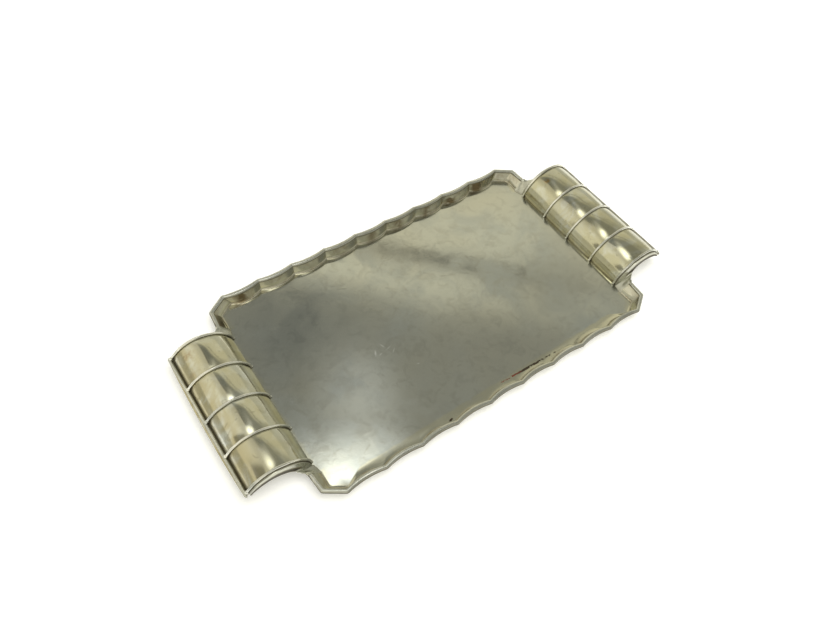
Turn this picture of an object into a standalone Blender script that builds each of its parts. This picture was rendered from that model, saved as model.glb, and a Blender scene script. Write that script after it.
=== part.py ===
"""Two-handled silver-plated vanity tray.

A pressed pan with fluted long walls carries a rolled border in two strips and two ribbed barrel handles.
Each handle is a pillowed shell with five wires over it, an outer rail and two end plates.
"""

import math

import bmesh
import bpy
from mathutils import Vector

# Sizes in metres. The origin is under the middle of the pan, on the table; X runs along the tray.
SHEET = 0.0009  # thickness of the pressed sheet
SEAM = 0.0003  # clearance at every soldered seam
FLOOR_TOP = SHEET

# Each level of the wall: half length, half width at the flute points, reach of the corner facet, flute depth,
# and how far the short side flares outwards by the seam.
RIM_OUTER = (0.1306, 0.0816, 0.1336, 0.0015, 0.0012)
RIM_INNER = (0.1279, 0.0789, 0.1309, 0.0021, 0.0010)
WALL_FOOT = (0.1245, 0.0780, 0.1285, 0.0030, 0.0)
FACET_NORMAL = (0.559, 0.829)  # the corner facet's direction in plan
FLUTE_PITCH = 0.026
FLUTES = 9
FLUTE_STEPS = 6

RIM_TOP = 0.0089
BORDER_HEIGHT = 0.0022
WALL_TOP = RIM_TOP - BORDER_HEIGHT - SEAM
FOOT_RADIUS = 0.0007
SEAM_Y = 0.0598  # where each border strip stops, short of the handle
UPSTAND_X = 0.1270  # low lip of the pan behind the foot of each handle
UPSTAND_TOP = 0.0020
SHARP_ANGLE = math.radians(38)

# The rolled border's section: share of its width from the inside out, and share of its height.
BORDER_SECTION = ((0, 0), (0, 0.55), (0.12, 0.85), (0.34, 1), (0.62, 0.97), (0.88, 0.7), (1, 0.3), (1, 0))

# The handle's arch: foot, crest, and the two sides' spans and exponents.
ARCH_FOOT_X = 0.1247
ARCH_CREST_X = 0.1488
ARCH_HEIGHT = 0.0192
ARCH_OUTER_SPAN = 0.0203
INNER_POWER = 0.625
OUTER_POWER = 0.56
ARCH_END_X = 0.1640
ARCH_STATIONS = 19
ARCH_SAMPLES = 800
SHELL_HALF_WIDTH = 0.0517
SHELL_CLEARANCE = 0.00036  # between the shell's foot and the floor
VALLEY_DEPTH = 0.0010  # how far the shell lies below the arch line at a wire
PILLOW_HEIGHT = 0.0010  # rise of the shell between two wires
PILLOW_AT_EDGES = 0.3  # share of that rise left where a lobe meets the floor or the rail
PILLOW_POWER = 0.8  # below 1 gives the lobes fuller sides
LOBES = 4
LOBE_STEPS = 5
FLANGE_TOP = 0.0084
FLANGE_START_X = 0.1655
FLANGE_END_X = 0.1673
FLANGE_BOW = 0.0012  # how much further the flange reaches at the middle of the handle

WIRE_PITCH = 0.0256
WIRES = 5
WIRE_RADIUS = 0.0008
WIRE_LIFT = 0.00012  # the wire's centre above the arch line
WIRE_STATIONS = 20
WIRE_END_X = 0.1648
KNOB = 1.2  # the solder knob at each end of a wire, as a share of the wire's radius
KNOB_TIP = 0.55  # the knob's rounded tip, as the same share
KNOB_X = 0.1242  # the knob at the foot of the wire, just inside the arch
KNOB_DROP = 0.0006

RAIL_X = 0.1663
RAIL_Z = 0.0099
RAIL_RADIUS = 0.0011
RAIL_HALF_LENGTH = 0.0534

PLATE_TOP_Y = 0.0530
PLATE_CLEARANCE = 0.00072  # between the plate's upper edge and the floor
PLATE_LEAN = 0.0005  # how far that edge runs outwards along the floor
PLATE_STEPS = 24
PLATE_FLOOR_SHARE = 0.24  # share of the plate's run that follows the floor before it climbs the arch
# The plate's lower edge, from the border's seam round the notch and along the end of the handle.
PLATE_LIP = (
    (0.1320, 0.0590, 0.0086),
    (0.1333, 0.0574, 0.0090),
    (0.1354, 0.0557, 0.0098),
    (0.1380, 0.0546, 0.0110),
    (0.1412, 0.0541, 0.0124),
    (0.1452, 0.0538, 0.0136),
    (0.1500, 0.0537, 0.0143),
    (0.1550, 0.0537, 0.0138),
    (0.1600, 0.0537, 0.0122),
    (0.1641, 0.0536, 0.0094),
)

PAN_SILVER = ((0.46, 0.44, 0.36), 0.32)
BORDER_SILVER = ((0.60, 0.60, 0.54), 0.24)
SHELL_SILVER = ((0.58, 0.56, 0.44), 0.20)
WIRE_SILVER = ((0.68, 0.66, 0.55), 0.18)
RAIL_SILVER = ((0.62, 0.60, 0.50), 0.22)
PLATE_SILVER = ((0.50, 0.49, 0.40), 0.28)


def clear_scene():
    for old in list(bpy.data.objects):
        bpy.data.objects.remove(old, do_unlink=True)


def metal(name, finish):
    colour, roughness = finish
    material = bpy.data.materials.new(f"{name}_metal")
    material.use_nodes = True
    shader = material.node_tree.nodes["Principled BSDF"]
    shader.inputs["Base Color"].default_value = (*colour, 1.0)
    shader.inputs["Metallic"].default_value = 1.0
    shader.inputs["Roughness"].default_value = roughness
    return material


def link_object(name, data, finish):
    data.materials.append(metal(name, finish))
    made = bpy.data.objects.new(name, data)
    bpy.context.collection.objects.link(made)
    return made


def add_solid(name, sections, finish, looped=False):
    """A closed body through sections of equal size: capped at both ends, or looped back to its start.

    A looped body's sections are open lines: one cap closes over their first points, the other over their last.
    """
    shape = bmesh.new()
    rings = [[shape.verts.new(point) for point in section] for section in sections]
    if looped:
        rings.append(rings[0])
        caps = [ring[0] for ring in rings[:-1]], [ring[-1] for ring in rings[:-1]]
    else:
        caps = rings[0], rings[-1]
        rings = [ring + ring[:1] for ring in rings]
    for ring, following in zip(rings, rings[1:]):
        for i in range(len(ring) - 1):
            shape.faces.new((ring[i], ring[i + 1], following[i + 1], following[i]))
    for cap in caps:
        shape.faces.new(cap)
    bmesh.ops.recalc_face_normals(shape, faces=shape.faces)
    mesh = bpy.data.meshes.new(name)
    shape.to_mesh(mesh)
    shape.free()
    mesh.shade_smooth()
    mesh.set_sharp_from_angle(angle=SHARP_ANGLE)
    return link_object(name, mesh, finish)


def add_wire(name, points, radii, depth, resolution, finish):
    """Round wire along a list of points, its ends filled."""
    curve = bpy.data.curves.new(name, "CURVE")
    curve.dimensions = "3D"
    curve.bevel_depth = depth
    curve.bevel_resolution = resolution
    curve.use_fill_caps = True
    spline = curve.splines.new("POLY")
    spline.points.add(len(points) - 1)
    for knot, point, radius in zip(spline.points, points, radii):
        knot.co = (*point, 1.0)
        knot.radius = radius
    return link_object(name, curve, finish)


def facet_corners(level):
    """Where the corner facet meets the long side (its x) and the short side (its y)."""
    half_x, half_y, reach = level[:3]
    normal_x, normal_y = FACET_NORMAL
    return (reach - normal_y * half_y) / normal_x, (reach - normal_x * half_x) / normal_y


def back_outline(level):
    """Plan points of the back long side, from the seam by the left handle to the seam by the right."""
    half_x, half_y, _, depth, flare = level
    corner_x, corner_y = facet_corners(level)
    nodes = [(i - FLUTES / 2) * FLUTE_PITCH for i in range(FLUTES + 1)]
    nodes[0], nodes[-1] = -corner_x, corner_x
    outline = [(-half_x - flare, SEAM_Y), (-half_x, corner_y)]
    for left, right in zip(nodes, nodes[1:]):
        for step in range(FLUTE_STEPS):
            t = step / FLUTE_STEPS
            outline.append((left + (right - left) * t, half_y - depth * 4 * t * (1 - t)))
    return outline + [(corner_x, half_y), (half_x, corner_y), (half_x + flare, SEAM_Y)]


def back_directions():
    """Outward offsets in plan for the points of back_outline, mitred at the corner facet."""
    normal_x, normal_y = FACET_NORMAL
    along = (1 - normal_y) / normal_x
    across = (1 - normal_x) / normal_y
    flutes = [(0.0, 1.0)] * (FLUTES * FLUTE_STEPS - 1)
    return [(-1.0, 0.0), (-1.0, across), (-along, 1.0)] + flutes + [(along, 1.0), (1.0, across), (1.0, 0.0)]


def wall_section(foot, top, outward, height, radius):
    """One slice of the pan's edge: over the floor, up the wall, down its back and under the floor."""
    steps = (
        (foot, -radius, FLOOR_TOP),
        (foot, -0.3 * radius, FLOOR_TOP + 0.3 * radius),
        (foot, 0.1 * radius, FLOOR_TOP + radius),
        (top, 0.0, height),
        (top, SHEET, height),
        (foot, SHEET, SHEET + 0.5 * radius),
        (foot, 0.65 * SHEET, 0.3 * SHEET),
        (foot, 0.0, 0.0),
    )
    return [(at[0] + outward[0] * push, at[1] + outward[1] * push, z) for at, push, z in steps]


def add_pan():
    places = zip(back_outline(WALL_FOOT), back_outline(RIM_INNER), back_directions())
    half = [wall_section(foot, top, outward, WALL_TOP, FOOT_RADIUS) for foot, top, outward in places]
    for y in (SEAM_Y - SEAM, 0.0, SEAM - SEAM_Y):
        lip = (UPSTAND_X, y)
        half.append(wall_section(lip, lip, (1.0, 0.0), UPSTAND_TOP, SEAM))
    sections = half + [[(-x, -y, z) for x, y, z in section] for section in half]
    add_solid("tray_pan", sections, PAN_SILVER, looped=True)


def add_border(name, side):
    """The rolled strip over one long wall and its two corners."""
    base = RIM_TOP - BORDER_HEIGHT
    sections = []
    for inner, outer in zip(back_outline(RIM_INNER), back_outline(RIM_OUTER)):
        near, far = Vector(inner), Vector(outer)
        places = [(near.lerp(far, across), base + BORDER_HEIGHT * up) for across, up in BORDER_SECTION]
        sections.append([(at.x, at.y * side, z) for at, z in places])
    add_solid(name, sections, BORDER_SILVER)


def arch_height(x):
    if x < ARCH_CREST_X:
        share = (ARCH_CREST_X - x) / (ARCH_CREST_X - ARCH_FOOT_X)
        power = INNER_POWER
    else:
        share = (x - ARCH_CREST_X) / ARCH_OUTER_SPAN
        power = OUTER_POWER
    return ARCH_HEIGHT * max(1 - share * share, 0.0) ** power


def arch_line(count, end_x=ARCH_END_X):
    """Evenly spaced (x, z) points up and over the arch, each with the normal that points away from it."""
    fine = [ARCH_FOOT_X + (end_x - ARCH_FOOT_X) * (i / ARCH_SAMPLES) ** 2 for i in range(ARCH_SAMPLES + 1)]
    path = [Vector((x, FLOOR_TOP + arch_height(x))) for x in fine]
    run = [0.0]
    for before, after in zip(path, path[1:]):
        run.append(run[-1] + (after - before).length)
    points = []
    at = 0
    for i in range(count):
        goal = run[-1] * i / (count - 1)
        while at < len(path) - 2 and run[at + 1] < goal:
            at += 1
        points.append(path[at].lerp(path[at + 1], (goal - run[at]) / (run[at + 1] - run[at])))
    line = []
    for i, point in enumerate(points):
        along = (points[min(i + 1, count - 1)] - points[max(i - 1, 0)]).normalized()
        line.append((point, Vector((-along.y, along.x))))
    return line


def shell_section(side, y, pillow):
    """The shell's slice at one y: over the arch to the flange, then back along its underside."""
    upper, lower = [], []
    lowest = FLOOR_TOP + SHELL_CLEARANCE
    line = arch_line(ARCH_STATIONS)
    for i, (point, normal) in enumerate(line):
        swell = PILLOW_AT_EDGES + (1 - PILLOW_AT_EDGES) * math.sin(math.pi * i / (len(line) - 1))
        outside = point + normal * (PILLOW_HEIGHT * pillow * swell - VALLEY_DEPTH)
        inside = outside - normal * SHEET
        upper.append((outside.x * side, y, max(outside.y, lowest)))
        lower.append((inside.x * side, y, max(inside.y, lowest)))
    bow = FLANGE_BOW * (1 - (y / SHELL_HALF_WIDTH) ** 2)
    flange = (FLANGE_START_X, FLANGE_END_X + bow)
    upper += [(x * side, y, FLANGE_TOP) for x in flange]
    lower += [(x * side, y, FLANGE_TOP - SHEET) for x in flange]
    return upper + lower[::-1]


def add_shell(name, side):
    sections = []
    steps = LOBES * LOBE_STEPS
    for i in range(steps + 1):
        pillow = math.sin(math.pi * (i % LOBE_STEPS) / LOBE_STEPS) ** PILLOW_POWER
        sections.append(shell_section(side, SHELL_HALF_WIDTH * (2 * i / steps - 1), pillow))
    add_solid(name, sections, SHELL_SILVER)


def add_handle_wire(name, side, y):
    """A wire over the shell, with a knob of solder at the floor and another beside the rail."""
    line = arch_line(WIRE_STATIONS, WIRE_END_X)
    knob_lift = WIRE_LIFT + (KNOB - 1) * WIRE_RADIUS
    points = []
    for i, (point, normal) in enumerate(line[2:]):
        at_knob = i == 0 or i > len(line) - 6
        centre = point + normal * (knob_lift if at_knob else WIRE_LIFT)
        points.append((centre.x * side, y, centre.y))
    foot_z = FLOOR_TOP + SEAM + KNOB * WIRE_RADIUS
    points = [(KNOB_X * side, y, foot_z - KNOB_DROP), (KNOB_X * side, y, foot_z)] + points
    radii = [KNOB_TIP, KNOB, KNOB] + [1.0] * (len(points) - 6) + [KNOB, KNOB, KNOB_TIP]
    add_wire(name, points, radii, WIRE_RADIUS, 2, WIRE_SILVER)


def add_rail(name, side):
    ends = ((-1.0, 0.5), (-0.99, 1.0), (0.99, 1.0), (1.0, 0.5))
    points = [(RAIL_X * side, share * RAIL_HALF_LENGTH, RAIL_Z) for share, _ in ends]
    add_wire(name, points, [radius for _, radius in ends], RAIL_RADIUS, 4, RAIL_SILVER)


def smooth_point(points, t):
    """The point a share t of the way along a list of points, rounded by a Catmull-Rom blend."""
    place = min(t, 0.999999) * (len(points) - 1)
    i = int(place)
    u = place - i
    a, b, c, d = (Vector(points[min(max(i + k, 0), len(points) - 1)]) for k in (-1, 0, 1, 2))
    return 0.5 * (2 * b + (c - a) * u + (2 * a - 5 * b + 4 * c - d) * u**2 + (3 * b - a - 3 * c + d) * u**3)


def plate_tops():
    """The plate's upper edge: along the pan's floor, then up and over the end of the arch."""
    floor_z = FLOOR_TOP + PLATE_CLEARANCE
    on_floor = round(PLATE_STEPS * PLATE_FLOOR_SHARE)
    start = Vector((WALL_FOOT[0] + SEAM, PLATE_LIP[0][1], floor_z))
    finish = Vector((start.x + PLATE_LEAN, PLATE_TOP_Y, floor_z))
    tops = [start.lerp(finish, i / on_floor) for i in range(on_floor)]
    for point, normal in arch_line(PLATE_STEPS + 1 - on_floor, WIRE_END_X):
        surface = point - normal * VALLEY_DEPTH
        tops.append(Vector((surface.x, PLATE_TOP_Y, max(surface.y, floor_z))))
    return tops


def add_plate(name, side_x, side_y):
    """The sheet that closes the handle's end and sweeps round the notch to meet the border."""
    tops = plate_tops()
    bottoms = [smooth_point(PLATE_LIP, i / PLATE_STEPS) for i in range(PLATE_STEPS + 1)]
    middles = [top.lerp(bottom, 0.5) for top, bottom in zip(tops, bottoms)]
    sections = []
    for i, outer in enumerate(zip(tops, middles, bottoms)):
        before, after = max(i - 1, 0), min(i + 1, PLATE_STEPS)
        run = middles[after] - middles[before]
        inward = (outer[2] - outer[0]).cross(run).normalized() * SHEET
        inner = [point + inward for point in outer]
        for point in inner:
            point.y = max(point.y, PLATE_TOP_Y - SHEET)
            point.z = max(point.z, tops[0].z)
        sections.append([(at.x * side_x, at.y * side_y, at.z) for at in [*outer, *reversed(inner)]])
    add_solid(name, sections, PLATE_SILVER)


def add_handle(name, side):
    add_shell(f"{name}_handle_shell", side)
    for i in range(WIRES):
        add_handle_wire(f"{name}_handle_wire_{i + 1}", side, (i - (WIRES - 1) / 2) * WIRE_PITCH)
    add_rail(f"{name}_handle_rail", side)
    for end, side_y in (("front", -1), ("back", 1)):
        add_plate(f"{name}_handle_{end}_plate", side, side_y)


def main():
    clear_scene()
    add_pan()
    add_border("front_border", -1)
    add_border("back_border", 1)
    add_handle("left", -1)
    add_handle("right", 1)


main()
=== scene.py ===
"""Looks of the two-handled silver-plated vanity tray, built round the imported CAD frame."""

import math

import bpy
from mathutils import Matrix, Vector, noise


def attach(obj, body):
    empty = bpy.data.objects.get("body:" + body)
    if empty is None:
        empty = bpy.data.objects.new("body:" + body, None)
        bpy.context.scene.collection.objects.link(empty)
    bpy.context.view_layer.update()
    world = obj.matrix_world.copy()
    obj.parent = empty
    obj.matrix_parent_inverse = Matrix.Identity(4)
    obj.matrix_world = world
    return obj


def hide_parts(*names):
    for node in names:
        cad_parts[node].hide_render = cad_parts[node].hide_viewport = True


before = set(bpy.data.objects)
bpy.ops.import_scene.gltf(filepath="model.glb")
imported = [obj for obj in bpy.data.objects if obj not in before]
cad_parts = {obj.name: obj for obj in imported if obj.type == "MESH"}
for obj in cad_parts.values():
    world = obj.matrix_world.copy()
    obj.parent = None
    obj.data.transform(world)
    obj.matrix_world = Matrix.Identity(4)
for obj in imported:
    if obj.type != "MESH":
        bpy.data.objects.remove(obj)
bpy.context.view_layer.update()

# The same driving sizes as the CAD, in metres: the origin is under the middle of the pan, X along the tray.
SHEET = 0.0009
FLOOR_TOP = SHEET
RIM_OUTER = (0.1306, 0.0816, 0.1336, 0.0015, 0.0012)
RIM_INNER = (0.1279, 0.0789, 0.1309, 0.0021, 0.0010)
WALL_FOOT = (0.1245, 0.0780, 0.1285, 0.0030, 0.0)
FACET_NORMAL = (0.559, 0.829)
FLUTE_PITCH = 0.026
FLUTES = 9
RIM_TOP = 0.0089
BORDER_HEIGHT = 0.0022
SEAM_Y = 0.0598
ARCH_FOOT_X = 0.1247
ARCH_CREST_X = 0.1488
ARCH_HEIGHT = 0.0192
ARCH_OUTER_SPAN = 0.0203
INNER_POWER = 0.625
OUTER_POWER = 0.56
ARCH_END_X = 0.1640
SHELL_HALF_WIDTH = 0.0517
VALLEY_DEPTH = 0.0010
PILLOW_HEIGHT = 0.0010
FLANGE_END_X = 0.1673
FLANGE_BOW = 0.0012
FLANGE_TOP = 0.0088
WIRE_PITCH = 0.0256
WIRES = 5
WIRE_RADIUS = 0.0008
WIRE_END_X = 0.1649
WIRE_FOOT_X = 0.1250
KNOB_RADIUS = 0.00120
FOOT_KNOB_RADIUS = 0.00078
RAIL_X = 0.1663
RAIL_Z = 0.0098
RAIL_RADIUS = 0.0011
RAIL_HALF_LENGTH = 0.0534
PLATE_TOP_Y = 0.0530
PLATE_END_X = 0.1652
PLATE_LIP = (
    (0.1320, 0.0590, 0.0086),
    (0.1333, 0.0574, 0.0090),
    (0.1354, 0.0557, 0.0098),
    (0.1380, 0.0546, 0.0110),
    (0.1412, 0.0541, 0.0124),
    (0.1452, 0.0538, 0.0136),
    (0.1500, 0.0537, 0.0143),
    (0.1550, 0.0537, 0.0138),
    (0.1600, 0.0537, 0.0122),
    (0.1641, 0.0536, 0.0094),
)

# Finer than the CAD: how closely each piece is sampled, and the wear and painted shade that its metal shows.
FLUTE_STEPS = 16
# Points left out at the two ends of the fluted side, where they would crowd the eased corners.
TRIM_START = 4
TRIM_END = 3
CUSP_ROUNDING = 0.02
CORNER_ROUNDING = 0.0008
FOOT_ROUNDING = 0.0018
SHORT_SIDE_STEPS = 5
END_STEPS = 16
FLOOR_RINGS = 20
# The share of the way out at which the slices of the pan start, round one flat face in the middle.
CENTRE_SHARE = 0.03
FLOOR_WAVE = 0.00006
FILLET = 0.0013
# The band along the floor's edge that tips up to the wall: its width, the straight line where it starts
# along the front, and its slopes in degrees.
EDGE_BAND = 0.0008
EDGE_LINE_Y = 0.0700
EDGE_SLOPE_NEAR = 7.0
EDGE_SLOPE_FAR = 5.0
WALL_ROWS = 6
WALL_WAVE = 0.00012
WALL_OVERLAP = 0.0004
FILLET_ANGLES = (16, 31, 46, 61, 76)
UNDER_ANGLES = (60, 35, 10)
OUTSIDE_SHARES = (1.0, 0.66, 0.33, 0.0)
UNDER_SHARES = (0.98, 0.9, 0.75, 0.5, 0.25, CENTRE_SHARE)
UNDER_LIFT = 0.00012
LIP_X = 0.1270
LIP_HEIGHT = 0.0020
LIP_FILLET = 0.0006
LIP_GAP = 0.0004
ARCH_STATIONS = 46
LOBES = 4
LOBE_STEPS = 14
LOBE_FULLNESS = 2.6
WIRE_STATIONS = 48
RAIL_STEPS = 90
TUBE_SIDES = 14
PLATE_STEPS = 64
FLOOR_PART = 0.24
LOW_DIRT_AND_SHADE_PART = 0.3
TUCK = 0.0006
PLATE_BULGE = (0.0, 0.00018, 0.00012)
# The dirt and painted shade across a plate, from under the end wire to the lip: over the arch, and down by
# the floor. Shade is painted under the end wire and, over the arch, as a dark band above the lip.
PLATE_DIRT_AND_SHADE = (0.85, 0.75, 0.3, 0.1, 0.35, 0.8, 1.1, 1.1, 0.7)
PLATE_DIRT_AND_SHADE_LOW = (0.85, 0.75, 0.55, 0.45, 0.4, 0.4, 0.45, 0.25, 0.3)
# Where a plate starts, it repeats the pan's wall and the inside of the border: (x, z) from the floor up.
PLATE_START = (
    (0.1239, 0.0013),
    (0.1252, 0.0030),
    (0.1272, 0.0053),
    (0.1288, 0.0075),
    (0.1300, 0.0089),
    (0.1320, 0.0086),
)


# ---------------------------------------------------------------- meshes


def finish_piece(name, points, grime_and_shade, faces, material, node, sharp=32):
    """A mesh object with its grime_and_shade attribute (dirt and painted shade), finish and place in the
    frame's table.
    """
    mesh = bpy.data.meshes.new(name)
    mesh.from_pydata(points, [], faces)
    mesh.attributes.new("grime_and_shade", "FLOAT", "POINT").data.foreach_set("value", grime_and_shade)
    mesh.validate()
    mesh.shade_smooth()
    mesh.set_sharp_from_angle(angle=math.radians(sharp))
    mesh.materials.append(material)
    piece = bpy.data.objects.new(name, mesh)
    bpy.context.scene.collection.objects.link(piece)
    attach(piece, "root")
    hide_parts(node)


def skin(name, sections, material, node, looped=False, sharp=32):
    """One closed body through sections of (point, grime_and_shade) pairs: dirt and painted shade.

    Sections are closed rings with a cap at each end, or, if looped, open lines joined last to first.
    """
    size = len(sections[0])
    points = [tuple(point) for section in sections for point, _ in section]
    grime_and_shade = [dirt_and_shade for section in sections for _, dirt_and_shade in section]
    faces = []
    across = size - 1 if looped else size
    for i in range(len(sections) if looped else len(sections) - 1):
        here = i * size
        there = ((i + 1) % len(sections)) * size
        for j in range(across):
            k = (j + 1) % size
            faces.append((here + j, here + k, there + k, there + j))
    if looped:
        faces.append(tuple(i * size for i in reversed(range(len(sections)))))
        faces.append(tuple(i * size + size - 1 for i in range(len(sections))))
    else:
        faces.append(tuple(reversed(range(size))))
        faces.append(tuple(range(len(points) - size, len(points))))
    finish_piece(name, points, grime_and_shade, outward_faces(points, faces), material, node, sharp)


def outward_faces(points, faces):
    """The same faces, turned over if the body's signed volume says that they point inwards."""
    volume = 0.0
    for face in faces:
        first = Vector(points[face[0]])
        for a, b in zip(face[1:], face[2:]):
            volume += first.dot(Vector(points[a]).cross(Vector(points[b])))
    return faces if volume > 0 else [tuple(reversed(face)) for face in faces]


def tube_sections(path, radii, grime_and_shade):
    """Rings round a path of points, each with its own radius.

    Grime and painted shade are a function of the point's number and the surface normal.
    """
    sections = []
    for i, (point, radius) in enumerate(zip(path, radii)):
        along = (path[min(i + 1, len(path) - 1)] - path[max(i - 1, 0)]).normalized()
        side = along.cross(Vector((0.0, 1.0, 0.0)) if abs(along.y) < 0.9 else Vector((0.0, 0.0, 1.0)))
        side.normalize()
        up = side.cross(along)
        ring = []
        for j in range(TUBE_SIDES):
            angle = math.tau * j / TUBE_SIDES
            normal = side * math.cos(angle) + up * math.sin(angle)
            ring.append((point + normal * radius, grime_and_shade(i, normal)))
        sections.append(ring)
    return sections


def rough(point, scale, seed, height):
    """Smooth noise, scale in cycles per metre, between plus and minus height."""
    return height * noise.noise(Vector(point) * scale + Vector((seed * 7.3, seed * 3.1, seed * 5.7)))


def smooth_share(value, low, high):
    share = min(max((value - low) / (high - low), 0.0), 1.0)
    return share * share * (3 - 2 * share)


# ---------------------------------------------------------------- pan and border


def facet_corners(level):
    """Where a corner facet meets the long side, by its x, and the short side, by its y."""
    half_x, half_y, reach = level[:3]
    normal_x, normal_y = FACET_NORMAL
    return (reach - normal_y * half_y) / normal_x, (reach - normal_x * half_x) / normal_y


def eased_corner(before, corner, after, rounding):
    """Three points in place of a sharp corner of an outline."""
    start = corner + (before - corner).normalized() * rounding
    end = corner + (after - corner).normalized() * rounding
    return [start, 0.25 * start + 0.5 * corner + 0.25 * end, end]


def flute_inset(share):
    """How deep a flute is, from 0 at its cusps to 1 in the middle, with the cusps slightly rounded."""
    hollow = 4 * share * (1 - share)
    return math.hypot(hollow, CUSP_ROUNDING) - CUSP_ROUNDING


def back_outline(level, rounding=CORNER_ROUNDING):
    """Plan points of the back long side, from the seam by the left handle to the seam by the right."""
    half_x, half_y, _, depth, flare = level
    corner_x, corner_y = facet_corners(level)
    nodes = [(i - FLUTES / 2) * FLUTE_PITCH for i in range(FLUTES + 1)]
    nodes[0], nodes[-1] = -corner_x, corner_x
    seam = Vector((half_x + flare, SEAM_Y))
    side = Vector((half_x, corner_y))
    end = Vector((corner_x, half_y))
    long_side = []
    for left, right in zip(nodes, nodes[1:]):
        for step in range(FLUTE_STEPS):
            share = 0.5 - 0.5 * math.cos(math.pi * step / FLUTE_STEPS)
            long_side.append(Vector((left + (right - left) * share, half_y - depth * flute_inset(share))))
    long_side[0] = Vector((-corner_x, half_y))
    right_end = eased_corner(long_side[-1], end, side, rounding) + eased_corner(end, side, seam, rounding)
    right_end += [side.lerp(seam, (i + 1) / SHORT_SIDE_STEPS) for i in range(SHORT_SIDE_STEPS)]
    left_end = [Vector((-point.x, point.y)) for point in reversed(right_end)]
    return left_end + long_side[TRIM_START:-TRIM_END] + right_end


def outline_directions():
    """Outward offsets in plan for back_outline's points, mitred at the corner facet."""
    normal_x, normal_y = FACET_NORMAL
    along = Vector(((1 - normal_y) / normal_x, 1.0))
    across = Vector((1.0, (1 - normal_x) / normal_y))
    facet = Vector(FACET_NORMAL)
    ahead = Vector((0.0, 1.0))
    straight = Vector((1.0, 0.0))
    right_end = [ahead, along, facet, facet, across, straight] + [straight] * SHORT_SIDE_STEPS
    left_end = [Vector((-way.x, way.y)) for way in reversed(right_end)]
    return left_end + [ahead] * (FLUTES * FLUTE_STEPS - TRIM_START - TRIM_END) + right_end


def floor_height(x, y):
    """Gentle unevenness of the hand-worn floor."""
    place = (x, y, 0.0)
    return FLOOR_TOP + rough(place, 17.0, 1, FLOOR_WAVE) + rough(place, 48.0, 2, 0.25 * FLOOR_WAVE)


def pan_section(foot, top, outward, height, radius, tall):
    """One slice of the pan from the middle of its floor, up its wall, down the outside and back under it.

    A tall slice has the fluted wall; the others have the low lip that runs under a handle.
    """
    section = []
    start = foot - outward * radius
    edge = start * (1 - EDGE_BAND / start.dot(outward.normalized()))
    if tall:
        turned = smooth_share(abs(outward.normalized().y), 0.86, 1.0)
        edge = edge.lerp(start * (EDGE_LINE_Y / abs(start.y)), turned if start.y < 0 else 0.0)
    slope = EDGE_SLOPE_NEAR if start.y < 0 else EDGE_SLOPE_FAR
    rise = 0.5 * (start - edge).length * math.tan(math.radians(slope))
    for i in range(FLOOR_RINGS):
        share = CENTRE_SHARE + (1 - CENTRE_SHARE) * (i / (FLOOR_RINGS - 1)) ** 0.8
        x, y = edge * share
        wavy = 1 - smooth_share(share, 0.88, 1.0)
        height_here = FLOOR_TOP + wavy * (floor_height(x, y) - FLOOR_TOP)
        section.append(((x, y, height_here), 0.3 * smooth_share(share, 0.95, 1.0)))
    for share in (0.25, 0.5, 0.75, 1.0):
        at = edge.lerp(start, share)
        section.append(((at.x, at.y, FLOOR_TOP + rise * share**2), 0.3 + 0.1 * share**2))
    low = FLOOR_TOP + rise - radius * (1 - math.cos(math.radians(slope)))
    for angle in FILLET_ANGLES:
        push = radius * (math.sin(math.radians(angle)) - 1)
        lift = radius * (1 - math.cos(math.radians(angle)))
        at = foot + outward * push
        section.append(((at.x, at.y, low + lift), 0.85 - 0.004 * angle))
    low += radius
    for i in range(WALL_ROWS):
        share = (i + 1) / WALL_ROWS if tall else i / (WALL_ROWS - 1)
        at = foot.lerp(top, share)
        at = at + outward * rough((at.x, at.y, share * 0.01), 90.0, 4, WALL_WAVE if tall else 0.0)
        section.append(((at.x, at.y, low + (height - low) * share), 0.42 + 0.2 * share))
    low = radius + 0.3 * SHEET
    for share in OUTSIDE_SHARES:
        at = foot.lerp(top, share) + outward * SHEET
        section.append(((at.x, at.y, low + (height - low) * share), 0.5))
    for angle in UNDER_ANGLES:
        push = (radius + SHEET) * math.sin(math.radians(angle)) - radius
        lift = (radius + SHEET) * (1 - math.cos(math.radians(angle)))
        at = foot + outward * push
        section.append(((at.x, at.y, lift), 0.4))
    for share in UNDER_SHARES:
        x, y = foot * share - outward * radius * share
        lift = UNDER_LIFT * (1 - smooth_share(share, 0.75, 0.95))
        section.append(((x, y, lift), 0.3))
    return section


def make_pan(material):
    """The whole pan: the back half's slices, then the same half turned round."""
    feet = back_outline(WALL_FOOT, FOOT_ROUNDING)
    places = list(zip(feet, back_outline(RIM_INNER), outline_directions()))
    wall_top = RIM_TOP - BORDER_HEIGHT + WALL_OVERLAP
    sections = []
    for turn in (1, -1):
        for foot, top, outward in places:
            sections.append(pan_section(foot * turn, top * turn, outward * turn, wall_top, FILLET, True))
        for i in range(END_STEPS + 1):
            lip = Vector((LIP_X, (SEAM_Y - LIP_GAP) * (1 - 2 * i / END_STEPS))) * turn
            sections.append(pan_section(lip, lip, Vector((turn, 0.0)), LIP_HEIGHT, LIP_FILLET, False))
    skin("pan_sheet", sections, material, "tray_pan", looped=True)


def border_profile(shade_from):
    """Shares of the border's width and height round its rolled section, and the dirt and painted shade in
    each place.

    Its outer side is painted dark from shade_from, a share of the width: painted shade. Its inner foot is
    darker too.
    """
    outer = [(0.0, 0.0, 0.9), (0.0, 0.3, 0.8)]
    for i in range(11):
        angle = math.pi * (1 - i / 10)
        across = 0.5 + 0.5 * math.copysign(abs(math.cos(angle)) ** 0.72, math.cos(angle))
        up = 0.46 + 0.54 * math.sin(angle) ** 0.8
        dirt_and_shade = 0.05 + 0.95 * smooth_share(across, shade_from, 1.0) + 0.5 * smooth_share(across, 0.2, 0.0)
        outer.append((across, up, dirt_and_shade))
    return outer + [(0.99, 0.2, 0.95), (0.95, 0.0, 1.0), (0.5, 0.06, 0.8)]


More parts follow.
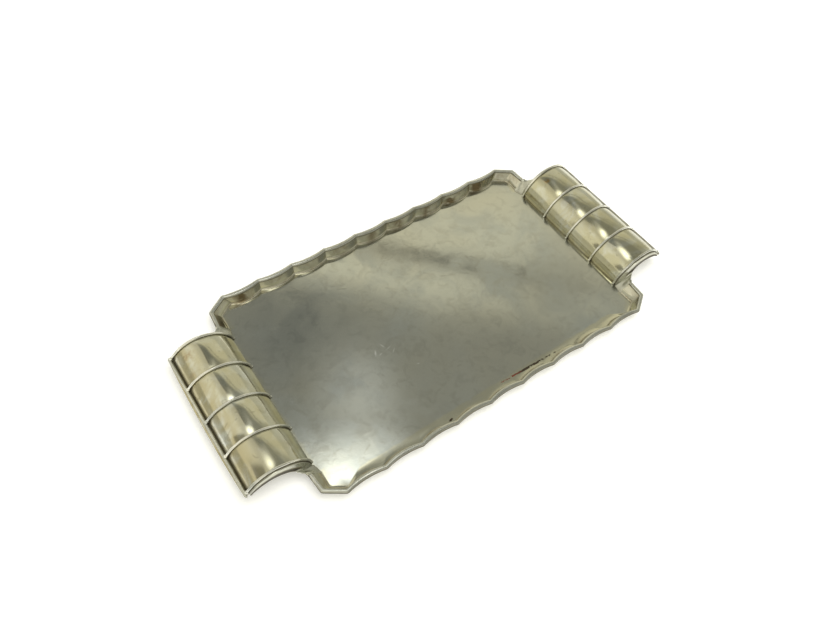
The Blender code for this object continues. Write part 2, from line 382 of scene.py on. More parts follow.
def make_border(name, side, material):
    """The rolled strip on one long wall: side is -1 at the front and 1 at the back."""
    # The roll's outer side gets painted shade from these shares of its width, over a wider band at the back.
    profile = border_profile(0.8 if side < 0 else 0.6)
    base = RIM_TOP - BORDER_HEIGHT
    outlines = list(zip(back_outline(RIM_INNER), back_outline(RIM_OUTER)))
    sections = []
    for i, (inner, outer) in enumerate(outlines):
        swell = 1 + rough((inner.x, inner.y * side, 0.0), 60.0, 8, 0.05)
        from_end = min(i, len(outlines) - 1 - i)
        taper = 0.75 + 0.25 * smooth_share(from_end, -1, 5)
        section = []
        for across, up, dirt_and_shade in profile:
            at = inner.lerp(outer, 0.5 + (across - 0.5) * min(swell, 1.0) * (0.5 + 0.5 * taper))
            lift = BORDER_HEIGHT * up * min(swell, 1.0) * taper
            section.append(((at.x, at.y * side, base + lift), min(dirt_and_shade + 0.3 * (from_end < 2), 1.0)))
        sections.append(section)
    skin(f"{name}_roll", sections, material, name)


# ---------------------------------------------------------------- handles


def arch_height(x):
    """Height of the handle's arch over the floor, steeper on its outer side."""
    if x < ARCH_CREST_X:
        share = (ARCH_CREST_X - x) / (ARCH_CREST_X - ARCH_FOOT_X)
        power = INNER_POWER
    else:
        share = (x - ARCH_CREST_X) / ARCH_OUTER_SPAN
        power = OUTER_POWER
    return ARCH_HEIGHT * max(1 - share * share, 0.0) ** power


def arch_line(count, end_x=ARCH_END_X):
    """Evenly spaced (x, z) points up and over the arch, each with the normal that points away from it."""
    samples = 1200
    path = []
    for i in range(samples + 1):
        x = ARCH_FOOT_X + (end_x - ARCH_FOOT_X) * (i / samples) ** 2
        path.append(Vector((x, FLOOR_TOP + arch_height(x))))
    run = [0.0]
    for before, after in zip(path, path[1:]):
        run.append(run[-1] + (after - before).length)
    points = []
    at = 0
    for i in range(count):
        goal = run[-1] * i / (count - 1)
        while at < samples - 1 and run[at + 1] < goal:
            at += 1
        points.append(path[at].lerp(path[at + 1], (goal - run[at]) / (run[at + 1] - run[at])))
    line = []
    for i, point in enumerate(points):
        along = (points[min(i + 1, count - 1)] - points[max(i - 1, 0)]).normalized()
        line.append((point, Vector((-along.y, along.x))))
    return line


def shell_section(side, y, pillow, seed):
    """The shell's slice at one y: over the arch to the flange, then back along its underside."""
    upper, lower = [], []
    lowest = FLOOR_TOP - 0.0001
    line = arch_line(ARCH_STATIONS)
    for i, (point, normal) in enumerate(line):
        share = i / (len(line) - 1)
        swell = 0.3 + 0.7 * math.sin(math.pi * share)
        dent = rough((point.x * side, y, point.y), 70.0, seed, 0.00028) * pillow * swell
        outside = point + normal * (PILLOW_HEIGHT * pillow * swell - VALLEY_DEPTH + min(dent, 0.0001))
        inside = outside - normal * SHEET
        # Darker in the valleys by the wires: tarnish plus painted shade of the wires. Darker where the arch
        # meets the flange and at its foot on the floor.
        dirt_and_shade = 0.75 * (1 - min(pillow * 2.2, 1.0)) + 0.5 * smooth_share(share, 0.95, 1.0)
        dirt_and_shade += 0.85 * (1 - smooth_share(share, 0.0, 0.07))
        upper.append(((outside.x * side, y, max(outside.y, lowest)), min(dirt_and_shade, 1.0)))
        lower.append(((inside.x * side, y, max(inside.y, lowest)), 0.5))
    bow = FLANGE_BOW * (1 - (y / SHELL_HALF_WIDTH) ** 2)
    end = FLANGE_END_X + bow
    top_steps = ((0.1647, 0.0006, 0.9), (0.1654, 0.0, 0.9), (end - 0.0003, 0.0, 0.3), (end, -0.0003, 0.3))
    for x, lift, dirt_and_shade in top_steps:
        upper.append(((x * side, y, FLANGE_TOP + lift), dirt_and_shade))
    under_steps = ((0.1641, 0.0006), (0.1650, 0.0), (end - 0.0003, 0.0), (end, 0.0003))
    for x, lift in under_steps:
        lower.append(((x * side, y, FLANGE_TOP - SHEET + lift), 0.5))
    return upper + lower[::-1]


def make_shell(name, side, material):
    """A handle's barrel: side is -1 for the left one and 1 for the right."""
    sections = []
    steps = LOBES * LOBE_STEPS
    seed = 11 if side < 0 else 12
    for i in range(steps + 1):
        share = (i % LOBE_STEPS) / LOBE_STEPS
        pillow = 1 - abs(2 * share - 1) ** LOBE_FULLNESS
        sections.append(shell_section(side, SHELL_HALF_WIDTH * (2 * i / steps - 1), pillow, seed))
    skin(f"{name}_barrel", sections, material, f"{name}_shell", sharp=48)


def ball_end(path, radii, radius, way, steps=5):
    """Adds a rounded knob of that radius beyond the end of a path."""
    centre = path[-1] + way * radius * 0.6
    for i in range(steps + 1):
        angle = math.pi / 2 * (-0.45 + 1.43 * i / steps)
        path.append(centre + way * radius * math.sin(angle))
        radii.append(radius * max(math.cos(angle), 0.04))


def make_wire(name, index, side, material):
    """One of a handle's wires, from the knob under its outer end over the arch to its foot on the floor."""
    y = (index - (WIRES - 1) / 2) * WIRE_PITCH
    seed = 20 + index + (10 if side > 0 else 0)
    line = arch_line(WIRE_STATIONS, WIRE_END_X)
    path, radii = [], []
    for i, (point, normal) in enumerate(line[3:]):
        wobble = rough((i * 0.003, seed * 0.1, 0.0), 60.0, seed, 0.00018)
        at = point + normal * (-0.00012)
        path.append(Vector((at.x * side, y + wobble, at.y)))
        radii.append(WIRE_RADIUS * (1 + rough((i * 0.002, 0.0, seed), 90.0, seed, 0.12)))
    ball_end(path, radii, KNOB_RADIUS, Vector((side * 0.7, 0.0, -0.7)).normalized())
    path.reverse()
    radii.reverse()
    for step in (0.5, 1.0):
        foot = Vector((WIRE_FOOT_X * side, y, FLOOR_TOP + 0.0005))
        path.append(path[-1].lerp(foot, step))
        radii.append(WIRE_RADIUS)
    last = len(path) - 4
    ball_end(path, radii, FOOT_KNOB_RADIUS, Vector((-side, 0.0, -0.15)).normalized())

    def grime_and_shade(i, normal):
        foot = 0.4 if side < 0 else 0.1
        # Darker on the wire's underside: painted shade. Darker towards the foot on the floor, more on the
        # left handle.
        return 0.08 + foot * smooth_share(i, last - 12, last) + 0.7 * smooth_share(-normal.z, -0.1, 0.6)

    sections = tube_sections(path, radii, grime_and_shade)
    number = index + 1
    skin(f"{name}_wire_bead_{number}", sections, material, f"{name}_wire_{number}", sharp=60)


def make_rail(name, side, material):
    """The nearly straight rail along a handle's outer edge, thinner just at its ends."""
    path, radii = [], []
    for i in range(RAIL_STEPS + 1):
        share = 2 * i / RAIL_STEPS - 1
        y = share * RAIL_HALF_LENGTH
        bend = rough((0.0, y, 0.0), 25.0, 31 + side, 0.00015)
        path.append(Vector((RAIL_X * side + bend, y, RAIL_Z)))
        end = smooth_share(abs(share), 0.985, 1.0)
        radii.append(RAIL_RADIUS * (1 + rough((0.0, y, 0.0), 120.0, 33 + side, 0.07)) * (1 - 0.65 * end))

    def grime_and_shade(_, normal):
        # Each rail is painted darker on its outer and lower side, and the right rail darker all over:
        # painted dark reflection.
        tone_level = 0.15 if side < 0 else 0.62
        return tone_level + 0.7 * smooth_share(normal.x * side - 0.7 * normal.z, 0.1, 0.9)

    sections = tube_sections(path, radii, grime_and_shade)
    skin(f"{name}_rail_bead", sections, material, f"{name}_rail", sharp=60)


def smooth_point(points, t):
    """The point a share t of the way along a list of points, rounded by a Catmull-Rom blend."""
    place = min(t, 0.999999) * (len(points) - 1)
    i = int(place)
    u = place - i
    a, b, c, d = (Vector(points[min(max(i + k, 0), len(points) - 1)]) for k in (-1, 0, 1, 2))
    return 0.5 * (2 * b + (c - a) * u + (2 * a - 5 * b + 4 * c - d) * u**2 + (3 * b - a - 3 * c + d) * u**3)


def plate_tops():
    """The fold beside the end wire: along the pan's floor, then up and over the end of the arch."""
    floor_z = FLOOR_TOP + 0.0001
    on_floor = round(PLATE_STEPS * FLOOR_PART)
    start = Vector((WALL_FOOT[0] - FILLET - 0.0002, SEAM_Y + 0.0003, floor_z))
    finish = Vector((WALL_FOOT[0] + 0.0003, PLATE_TOP_Y, floor_z))
    tops = [start.lerp(finish, i / on_floor) for i in range(on_floor)]
    for point, normal in arch_line(PLATE_STEPS + 1 - on_floor, PLATE_END_X):
        surface = point - normal * VALLEY_DEPTH
        tops.append(Vector((surface.x, PLATE_TOP_Y, max(surface.y, floor_z))))
    return tops


def make_plate(name, side_x, side_y, material):
    """The sheet that closes the handle's end and sweeps round the notch to meet the border."""
    sections = []
    rows = []
    for i, top in enumerate(plate_tops()):
        share = i / PLATE_STEPS
        bottom = smooth_point(PLATE_LIP, share)
        bottom.y += 0.0011 * (1 - smooth_share(share, 0.0, 0.08))
        inner_edge = Vector((top.x, SHELL_HALF_WIDTH - TUCK, top.z - 0.0001))
        if share < FLOOR_PART:
            inner_edge = Vector((top.x - 0.0002, top.y, top.z - 0.0001))
        row = [inner_edge, inner_edge.lerp(top, 0.6), top + Vector((0.0, 0.0, -0.0001))]
        start = 1 - smooth_share(share, 0.0, 0.15)
        for k, (x, z) in enumerate(PLATE_START, 1):
            across = k / len(PLATE_START)
            at = top.lerp(bottom, across) + Vector(PLATE_BULGE) * math.sin(math.pi * across)
            row.append(at.lerp(Vector((x, at.y, z)), start))
        rows.append(row)
    for i, row in enumerate(rows):
        before, after = rows[max(i - 1, 0)], rows[min(i + 1, len(rows) - 1)]
        run = after[5] - before[5]
        thickness = 0.8 * SHEET * (0.25 + 0.75 * smooth_share(i / PLATE_STEPS, 0.0, 0.12))
        inward = (row[-1] - row[2]).cross(run).normalized() * thickness
        # Darker under the end wire and along a band above the lip: painted shade, with dirt.
        dirt_and_shade_row = PLATE_DIRT_AND_SHADE_LOW if i < LOW_DIRT_AND_SHADE_PART * PLATE_STEPS else PLATE_DIRT_AND_SHADE
        section = [(point, dirt_and_shade) for point, dirt_and_shade in zip(row, dirt_and_shade_row)]
        for point in reversed(row):
            back = point + inward
            back.y = max(back.y, SHELL_HALF_WIDTH - TUCK)
            back.z = max(back.z, FLOOR_TOP - 0.0002)
            section.append((back, 0.6))
        sections.append([((at.x * side_x, at.y * side_y, at.z), dirt_and_shade) for at, dirt_and_shade in section])
    end = "front" if side_y < 0 else "back"
    skin(f"{name}_{end}_skirt", sections, material, f"{name}_{end}_plate", sharp=55)


# ---------------------------------------------------------------- materials


class Graph:
    """Shorthand for the nodes of one material."""

    def __init__(self, name):
        self.material = bpy.data.materials.new(name)
        self.material.use_nodes = True
        self.tree = self.material.node_tree
        self.shader = self.tree.nodes["Principled BSDF"]
        self.place = self.add("ShaderNodeTexCoord").outputs["Object"]
        self.grime_and_shade = self.add("ShaderNodeAttribute", attribute_name="grime_and_shade").outputs["Fac"]

    def add(self, kind, **fields):
        node = self.tree.nodes.new(kind)
        for key, value in fields.items():
            setattr(node, key, value)
        return node

    def put(self, value, socket):
        if isinstance(value, bpy.types.NodeSocket):
            self.tree.links.new(value, socket)
        else:
            socket.default_value = value

    def math(self, operation, first, second=0.0, clamp=False):
        node = self.add("ShaderNodeMath", operation=operation, use_clamp=clamp)
        self.put(first, node.inputs[0])
        self.put(second, node.inputs[1])
        return node.outputs[0]

    def total(self, *parts):
        """The sum of (socket, weight) pairs, held between 0 and 1."""
        made = self.math("MULTIPLY", *parts[0])
        for part in parts[1:]:
            made = self.math("ADD", made, self.math("MULTIPLY", *part))
        return self.math("ADD", made, 0.0, clamp=True)

    def mapped(self, size, angle=0.0, centre=(0.0, 0.0)):
        """Coordinates along and across a frame on the tray, counted in the frame's own sizes."""
        node = self.add("ShaderNodeMapping", vector_type="TEXTURE")
        self.put(self.place, node.inputs["Vector"])
        node.inputs["Location"].default_value = (*centre, 0.0)
        node.inputs["Rotation"].default_value = (0.0, 0.0, math.radians(angle))
        node.inputs["Scale"].default_value = size
        return node.outputs[0]

    def noise(self, scale, detail=3.0, distortion=0.0, vector=None, roughness=0.5):
        node = self.add("ShaderNodeTexNoise")
        self.put(vector or self.place, node.inputs["Vector"])
        node.inputs["Scale"].default_value = scale
        node.inputs["Detail"].default_value = detail
        node.inputs["Roughness"].default_value = roughness
        node.inputs["Distortion"].default_value = distortion
        return node.outputs["Fac"]

    def step(self, value, low, high):
        """0 below low, 1 above high, smooth between; high may be the smaller one."""
        node = self.add("ShaderNodeMapRange", interpolation_type="SMOOTHSTEP")
        self.put(value, node.inputs["Value"])
        first, last = (low, high) if low < high else (high, low)
        node.inputs["From Min"].default_value = first
        node.inputs["From Max"].default_value = last
        node.inputs["To Min"].default_value = 0.0 if low < high else 1.0
        node.inputs["To Max"].default_value = 1.0 if low < high else 0.0
        return node.outputs["Result"]

    def mix(self, share, first, second):
        node = self.add("ShaderNodeMix", data_type="RGBA")
        self.put(share, node.inputs[0])
        self.put(colour(first), node.inputs[6])
        self.put(colour(second), node.inputs[7])
        return node.outputs[2]

    def scratches(self, angle, length, width, amount, seed):
        """Fine straight scratches that run at an angle to X, mostly apart from each other."""
        moved = self.mapped((length, width, 1.0), angle, (0.01 * seed, 0.01 * seed))
        line = self.noise(1.0, 1.0, vector=moved)
        return self.step(line, 0.78 - amount, 0.86 - amount)

    def patch(self, x, y, half_x, half_y, angle=0.0):
        """1 at a place on the tray, falling to 0 round an ellipse."""
        node = self.add("ShaderNodeVectorMath", operation="LENGTH")
        self.put(self.mapped((half_x, half_y, 1000.0), angle, (x, y)), node.inputs[0])
        return self.step(node.outputs["Value"], 1.0, 0.0)

    def specks(self, scale, size, seed):
        """Small separate dots."""
        node = self.add("ShaderNodeTexVoronoi")
        self.put(self.mapped((1.0, 1.0, 1.0), 0.0, (seed, 0.3 * seed)), node.inputs["Vector"])
        node.inputs["Scale"].default_value = scale
        return self.step(node.outputs["Distance"], size, 0.4 * size)

    def bump(self, height, strength, distance):
        node = self.add("ShaderNodeBump")
        node.inputs["Strength"].default_value = strength
        node.inputs["Distance"].default_value = distance
        self.put(height, node.inputs["Height"])
        self.put(node.outputs["Normal"], self.shader.inputs["Normal"])

    def finish(self, base, roughness, metallic):
        self.put(base, self.shader.inputs["Base Color"])
        self.put(roughness, self.shader.inputs["Roughness"])
        self.put(metallic, self.shader.inputs["Metallic"])
        return self.material


def colour(value):
    return (*value, 1.0) if isinstance(value, tuple) else value


CLOUDED = (0.52, 0.53, 0.49)
YELLOWED = (0.56, 0.53, 0.35)
BROWNED = (0.15, 0.13, 0.075)
# Black for the deepest tarnish and for painted shade.
BLACK_TARNISH_AND_SHADE = (0.022, 0.020, 0.016)


def silver(name, clean, roughness, yellow, dirt_and_shade, marks, seed, stains=()):
    """Worn silver plate: clouding, yellow lacquer tone, dark dirt and painted shade in the seams, scratches
    and small pits.

    Stains are extra tarnish: each a function of the graph that returns its mask, with the colour under it.
    """
    graph = Graph(name)
    moved = graph.mapped((1.0, 1.0, 1.0), 0.0, (seed, 0.7 * seed))
    cloud = graph.step(graph.noise(38.0, 4.0, 0.6, moved), 0.42, 0.66)
    tone = graph.step(graph.noise(16.0, 3.0, 0.4, moved), 0.4, 0.64)
    grain = graph.noise(900.0, 2.0, vector=moved)
    blot = graph.step(graph.noise(140.0, 5.0, 1.2, moved, 0.6), 0.6, 0.72)
    lines = graph.total((graph.scratches(24, 0.008, 0.00013, marks * 0.07, seed + 1), 0.7),
                        (graph.scratches(-52, 0.006, 0.00011, marks * 0.07, seed + 2), 0.6),
                        (graph.scratches(81, 0.009, 0.00014, marks * 0.06, seed + 3), 0.6))
    # The grime_and_shade attribute turns the colour brown: dirt in the seams, and on the wires, rails,
    # border roll and plates also painted shade.
    uneven = graph.math("ADD", graph.grime_and_shade, graph.math("MULTIPLY", graph.noise(220.0, 4.0), 0.35))
    seams = graph.step(uneven, 0.45, 1.1)
    base = graph.mix(cloud, clean, CLOUDED)
    base = graph.mix(graph.math("MULTIPLY", tone, yellow), base, YELLOWED)
    for mask, shade in stains:
        base = graph.mix(mask(graph), base, shade)
    base = graph.mix(graph.math("MULTIPLY", blot, 0.3), base, BROWNED)
    base = graph.mix(graph.math("MULTIPLY", lines, 0.3), base, (0.80, 0.79, 0.74))
    base = graph.mix(graph.math("MULTIPLY", seams, dirt_and_shade), base, BROWNED)
    # Black where the attribute is highest: the deepest tarnish and painted shade.
    black_tarnish_and_shade = graph.step(graph.grime_and_shade, 0.88, 1.06)
    base = graph.mix(graph.math("MULTIPLY", black_tarnish_and_shade, 0.9), base, BLACK_TARNISH_AND_SHADE)
    rough_all = graph.total((cloud, 0.09), (grain, 0.06), (lines, 0.12), (seams, 0.22), (blot, 0.06))
    rough_all = graph.math("ADD", rough_all, roughness)
    metallic = graph.math("SUBTRACT", 1.0, graph.total((seams, 0.40), (black_tarnish_and_shade, 0.35)))
    dents = graph.noise(160.0, 3.0, vector=moved)
    height = graph.total((grain, 0.03), (dents, 0.4), (lines, -0.08), (blot, -0.08))
    graph.bump(height, 0.35, 0.00010)
    return graph.finish(base, rough_all, metallic)


def along_x(low, high, strength):
    """A tarnish mask that grows from one x to another, broken up by noise."""
    def mask(graph):
        split = graph.add("ShaderNodeSeparateXYZ")
        graph.put(graph.place, split.inputs[0])
        tone_level = graph.math("MULTIPLY", graph.step(graph.noise(75.0, 4.0, 0.8), 0.30, 0.60), strength)
        return graph.math("MULTIPLY", graph.step(split.outputs["X"], low, high), tone_level)
    return mask


def spot(x, y, half_x, half_y, strength):
    """A tarnish mask round one place, with a ragged edge."""
    def mask(graph):
        ragged = graph.step(graph.noise(260.0, 4.0, 1.0), 0.35, 0.62)
        tone_level = graph.math("MULTIPLY", ragged, strength)
        return graph.math("MULTIPLY", graph.patch(x, y, half_x, half_y), tone_level)
    return mask


# Each stain's mask, and the colour under it.
SHELL_STAINS = (
    (along_x(-0.148, -0.1600, 1.0), (0.42, 0.36, 0.22)),
    (along_x(-0.1325, -0.1265, 0.75), (0.50, 0.47, 0.30)),
    (along_x(0.1315, 0.1262, 0.6), (0.50, 0.47, 0.31)),
    (spot(-0.1560, 0.0430, 0.0060, 0.0050, 0.6), (0.30, 0.20, 0.10)),
    (spot(-0.1600, 0.0290, 0.0045, 0.0060, 0.45), (0.34, 0.25, 0.13)),
    (spot(0.1385, 0.0430, 0.0030, 0.0036, 0.9), (0.55, 0.33, 0.08)),
    (spot(0.1390, -0.0480, 0.0045, 0.0040, 0.7), (0.20, 0.21, 0.18)),
)

# Brown tarnish on the back wall: where it sits along X, and how strong it is.
WALL_STAINS = (
    (-0.1060, 1.2),
    (-0.0268, 0.5),
    (-0.0012, 0.8),
    (0.0222, 0.9),
    (0.0482, 1.0),
    (0.0710, 1.4),
    (0.0970, 1.4),
)
WALL_STAIN_Y = 0.0785
WALL_STAIN_SIZE = (0.0075, 0.012)


def floor_silver():
    """The pan: satin from wiping, clouded, with tarnish at its edges, a rust stain and old scratches."""
    graph = Graph("worn_pan_silver")
    cloud = graph.step(graph.noise(30.0, 5.0, 0.8), 0.40, 0.66)
    broad = graph.step(graph.noise(11.0, 2.0, 0.3), 0.38, 0.62)
    mottle = graph.step(graph.noise(120.0, 5.0, 0.9, roughness=0.62), 0.46, 0.68)
    grain = graph.noise(1100.0, 2.0)
    wiped = graph.noise(1.0, 3.0, vector=graph.mapped((0.02, 0.0006, 1.0), 58))
    lines = graph.total((graph.scratches(58, 0.012, 0.00016, 0.045, 3), 0.5),
                        (graph.scratches(20, 0.009, 0.00013, 0.035, 5), 0.6),
                        (graph.scratches(-35, 0.007, 0.00012, 0.04, 9), 0.6),
                        (graph.scratches(95, 0.011, 0.00013, 0.035, 14), 0.6))
    scribble = graph.total((graph.patch(-0.0525, -0.0085, 0.0032, 0.0010, 62), 1.0),
                           (graph.patch(-0.0500, -0.0110, 0.0022, 0.0006, 20), 0.8),
                           (graph.patch(-0.0455, -0.0060, 0.0036, 0.0006, 110), 0.7),
                           (graph.patch(-0.0430, -0.0095, 0.0040, 0.0006, 15), 0.6),
                           (graph.patch(-0.0410, -0.0130, 0.0030, 0.0006, 40), 0.7),
                           (graph.patch(-0.0330, -0.0300, 0.0016, 0.0006, -20), 0.7))
    near_left = graph.patch(-0.112, -0.050, 0.03, 0.045)
    specks = graph.math("MULTIPLY", graph.specks(900.0, 0.20, 2.0), near_left)
    edges = graph.math("ADD", graph.grime_and_shade, graph.math("MULTIPLY", graph.noise(120.0, 4.0), 0.3))
    edges = graph.math("SUBTRACT", edges, 0.15)
    seams = graph.step(edges, 0.45, 0.95)
    breakup = graph.step(graph.noise(260.0, 5.0, 1.0, roughness=0.65), 0.42, 0.58)
    stain = graph.math("MULTIPLY", graph.patch(0.030, -0.0717, 0.031, 0.0011, -1.9), breakup)
    rust = graph.math("MULTIPLY", graph.patch(0.012, -0.0710, 0.014, 0.0011, -1.9), breakup)
    fleck = graph.patch(-0.0391, -0.0744, 0.0022, 0.0010, 15)
    base = graph.mix(cloud, (0.59, 0.605, 0.55), (0.515, 0.54, 0.51))
    base = graph.mix(graph.math("MULTIPLY", broad, 0.35), base, (0.60, 0.56, 0.42))
    base = graph.mix(graph.math("MULTIPLY", mottle, 0.45), base, (0.46, 0.46, 0.40))
    base = graph.mix(graph.math("MULTIPLY", scribble, 0.9), base, (0.92, 0.92, 0.88))
    base = graph.mix(graph.math("MULTIPLY", lines, 0.35), base, (0.78, 0.78, 0.74))
    base = graph.mix(graph.math("MULTIPLY", specks, 0.6), base, (0.85, 0.85, 0.82))
    base = graph.mix(graph.step(edges, 0.14, 0.36), base, (0.62, 0.605, 0.47))
    wall_tone = graph.mix(mottle, (0.58, 0.57, 0.48), (0.46, 0.43, 0.34))
    base = graph.mix(graph.step(edges, 0.38, 0.52), base, wall_tone)
    wall = graph.step(edges, 0.36, 0.46)
    ragged = graph.step(graph.noise(150.0, 4.0, 0.8), 0.30, 0.55)
    for x, strength in WALL_STAINS:
        tone_level = graph.math("MULTIPLY", ragged, strength)
        mask = graph.math("MULTIPLY", graph.patch(x, WALL_STAIN_Y, *WALL_STAIN_SIZE), tone_level)
        mask = graph.math("MINIMUM", mask, 0.95)
        base = graph.mix(graph.math("MULTIPLY", mask, wall), base, (0.17, 0.125, 0.07))
    base = graph.mix(graph.math("MULTIPLY", seams, 0.8), base, (0.26, 0.22, 0.11))
    spoiled = graph.total((stain, 1.0), (rust, 1.0), (fleck, 1.0))
    burnt = graph.step(graph.total((stain, 1.0), (fleck, 1.0)), 0.0, 0.4)
    base = graph.mix(burnt, base, (0.035, 0.022, 0.010))
    base = graph.mix(graph.step(rust, 0.1, 0.6), base, (0.13, 0.022, 0.008))
    roughness = graph.total((cloud, 0.08), (grain, 0.03), (lines, 0.08), (seams, 0.15), (spoiled, 0.35))
    roughness = graph.math("ADD", roughness, 0.07)
    metallic = graph.math("SUBTRACT", 1.0, graph.total((seams, 0.25), (graph.step(spoiled, 0.3, 0.7), 0.9)))
    ripple = graph.noise(62.0, 2.0, 0.5)
    height = graph.total((grain, 0.012), (ripple, 0.40), (mottle, 0.04), (wiped, 0.004), (lines, -0.025),
                         (scribble, -0.15), (spoiled, 0.08))
    graph.bump(height, 0.5, 0.0002)
    return graph.finish(base, roughness, metallic)


# ---------------------------------------------------------------- stage


def plain_material(name, shade, glow=0.0):
    material = bpy.data.materials.new(name)
    material.use_nodes = True
    shader = material.node_tree.nodes["Principled BSDF"]
    shader.inputs["Base Color"].default_value = (*shade, 1.0)
    shader.inputs["Roughness"].default_value = 0.9
    shader.inputs["Specular IOR Level"].default_value = 0.1
    shader.inputs["Emission Color"].default_value = (*shade, 1.0)
    shader.inputs["Emission Strength"].default_value = glow
    return material


def stage_quad(name, centre, across, along, material, seen=True):
    """A flat staged rectangle: its centre and its two half sides."""
    centre, across, along = Vector(centre), Vector(across), Vector(along)
    corners = [centre - across - along, centre + across - along]
    corners += [centre + across + along, centre - across + along]
    mesh = bpy.data.meshes.new(name)
    mesh.from_pydata([tuple(corner) for corner in corners], [], [(0, 1, 2, 3)])
    mesh.materials.append(material)
    made = bpy.data.objects.new(name, mesh)
    bpy.context.scene.collection.objects.link(made)
    made.visible_camera = seen
    if not seen:
        made.visible_shadow = False
        made.visible_diffuse = False


def area_light(name, place, target, size, energy, shade):
    """A soft round lamp that the metal doesn't mirror."""
    light = bpy.data.lights.new(name, "AREA")
    light.shape = "DISK"
    light.size = size
    light.energy = energy
    light.color = shade
    made = bpy.data.objects.new(name, light)
    made.location = place
    made.rotation_euler = (Vector(target) - Vector(place)).to_track_quat("-Z", "Y").to_euler()
    made.visible_glossy = False
    made.visible_camera = False
    bpy.context.scene.collection.objects.link(made)


# Sky stops: the sine of the elevation, and the light that comes from there.
SKY = (
    (0.00, (0.70, 0.69, 0.60)),
    (0.35, (0.62, 0.61, 0.50)),
    (0.60, (0.66, 0.64, 0.52)),
    (1.00, (0.45, 0.45, 0.42)),
)
CEILING_HEIGHT = 0.70
CEILING_HALF = 1.5


def make_world():
    """Pale walls all round the stage."""
    world = bpy.data.worlds.new("soft_studio")
    world.use_nodes = True
    bpy.context.scene.world = world
    tree = world.node_tree
    background = tree.nodes["Background"]
    coordinates = tree.nodes.new("ShaderNodeTexCoord")
    split = tree.nodes.new("ShaderNodeSeparateXYZ")
    ramp = tree.nodes.new("ShaderNodeValToRGB")
    tree.links.new(coordinates.outputs["Generated"], split.inputs[0])
    tree.links.new(split.outputs["Z"], ramp.inputs["Fac"])
    ramp.color_ramp.interpolation = "EASE"
    stops = ramp.color_ramp.elements
    for height, _ in SKY[1:-1]:
        stops.new(height)
    for stop, (_, shade) in zip(stops, SKY):
        stop.color = (*shade, 1.0)
    tree.links.new(ramp.outputs["Color"], background.inputs["Color"])


def ceiling_material():
    """What the metal mirrors from above: a soft lamp, a cream left, a dim middle, a pale side and a beam."""
    graph = Graph("staged_ceiling")
    split = graph.add("ShaderNodeSeparateXYZ")
    graph.put(graph.place, split.inputs[0])
    x, y = split.outputs["X"], split.outputs["Y"]
    slant = graph.math("ADD", x, graph.math("MULTIPLY", y, 0.95))
    beam_line = graph.math("ABSOLUTE", graph.math("SUBTRACT", graph.math("ADD", x, y), 0.885))
    beam_end = graph.math("MULTIPLY", graph.step(x, 0.20, 0.28), graph.step(x, 0.68, 0.58))
    beam = graph.math("MULTIPLY", graph.step(beam_line, 0.030, 0.012), beam_end)
    low = graph.step(y, 0.15, 0.52)
    pale = graph.mix(low, (0.46, 0.455, 0.38), (0.78, 0.745, 0.58))
    dim = graph.mix(graph.patch(0.09, 0.47, 0.22, 0.20), (0.315, 0.315, 0.275), (0.205, 0.215, 0.205))
    shade = graph.mix(graph.step(slant, 0.645, 0.765), dim, pale)
    shade = graph.mix(graph.math("MULTIPLY", graph.patch(0.35, 0.37, 0.09, 0.07), 0.35), shade, pale)
    cream = graph.mix(graph.step(x, -0.16, -0.45), (0.74, 0.71, 0.60), (1.04, 1.00, 0.84))
    shade = graph.mix(graph.step(x, -0.04, -0.09), shade, cream)
    strip = graph.math("MULTIPLY", graph.patch(-0.055, 0.40, 0.035, 0.32), 0.9)
    shade = graph.mix(strip, shade, (0.05, 0.05, 0.045))
    shade = graph.mix(beam, shade, (0.07, 0.07, 0.065))
    streak = graph.math("MULTIPLY", graph.patch(0.11, 0.28, 0.11, 0.17, -20), 0.5)
    shade = graph.mix(streak, shade, (0.9, 0.9, 0.84))
    shade = graph.mix(graph.patch(-0.02, 0.12, 0.19, 0.155), shade, (3.5, 3.5, 3.25))
    graph.put(shade, graph.shader.inputs["Emission Color"])
    graph.shader.inputs["Emission Strength"].default_value = 1.0
    return graph.finish((0.0, 0.0, 0.0, 1.0), 1.0, 0.0)


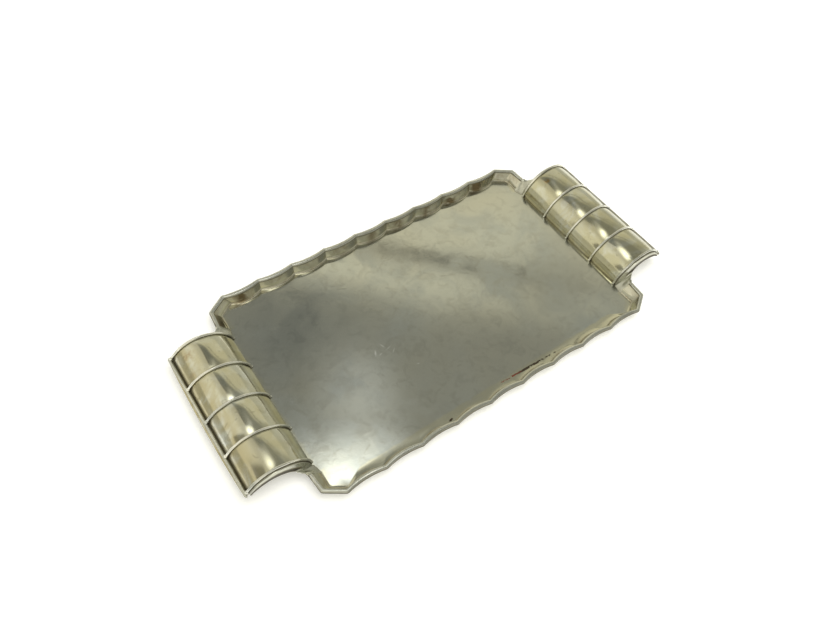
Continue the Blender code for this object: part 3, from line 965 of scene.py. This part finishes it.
def make_stage():
    """The pale floor, the two mirrored cards and the soft light."""
    paper = plain_material("pale_paper", (0.90, 0.90, 0.89), 0.30)
    stage_quad("paper_floor", (0.0, 0.0, 0.0), (3.0, 0.0, 0.0), (0.0, 3.0, 0.0), paper)
    stage_quad("ceiling", (0.0, 0.0, CEILING_HEIGHT), (CEILING_HALF, 0.0, 0.0), (0.0, CEILING_HALF, 0.0),
               ceiling_material(), seen=False)
    stage_quad("dark_sleeve", (-0.395, 0.049, 0.35), (-0.159, 0.061, 0.0), (-0.025, -0.065, 0.0),
               plain_material("dark_cloth", (0.16, 0.155, 0.13), 1.0), seen=False)
    area_light("overhead_fill", (0.2, -0.3, 1.6), (0.0, 0.0, 0.0), 1.6, 18.0, (1.0, 0.99, 0.97))


def make_camera():
    """The photograph's viewing angle: about half a metre away, over the front left corner."""
    camera = bpy.data.cameras.new("camera")
    camera.lens = 29.54
    camera.sensor_width = 36.0
    camera.clip_start = 0.01
    made = bpy.data.objects.new("camera", camera)
    right = Vector((0.82110, -0.56759, 0.06025))
    up = Vector((0.43674, 0.69273, 0.57392))
    back = Vector((-0.36749, -0.44493, 0.81669))
    turn = Matrix((right, up, back)).transposed().to_4x4()
    made.matrix_world = Matrix.Translation((-0.18344, -0.20210, 0.38348)) @ turn
    bpy.context.scene.collection.objects.link(made)
    bpy.context.scene.camera = made


def main():
    make_camera()
    make_world()
    make_stage()
    bpy.context.scene.view_settings.view_transform = "Standard"
    make_pan(floor_silver())
    border = silver("border_silver", (0.68, 0.685, 0.63), 0.17, 0.25, 0.9, 0.4, 1.0)
    make_border("front_border", -1, border)
    make_border("back_border", 1, border)
    shell = silver("shell_silver", (0.64, 0.655, 0.595), 0.10, 0.4, 0.85, 0.4, 2.0, SHELL_STAINS)
    wire = silver("wire_silver", (0.88, 0.87, 0.80), 0.16, 0.15, 0.85, 0.2, 3.0)
    rail = silver("rail_silver", (0.70, 0.70, 0.63), 0.19, 0.3, 0.95, 0.3, 4.0)
    plate = silver("plate_silver", (0.56, 0.565, 0.49), 0.18, 0.5, 1.0, 0.4, 5.0)
    for name, side in (("left_handle", -1), ("right_handle", 1)):
        make_shell(name, side, shell)
        for index in range(WIRES):
            make_wire(name, index, side, wire)
        make_rail(name, side, rail)
        for side_y in (-1, 1):
            make_plate(name, side, side_y, plate)


main()
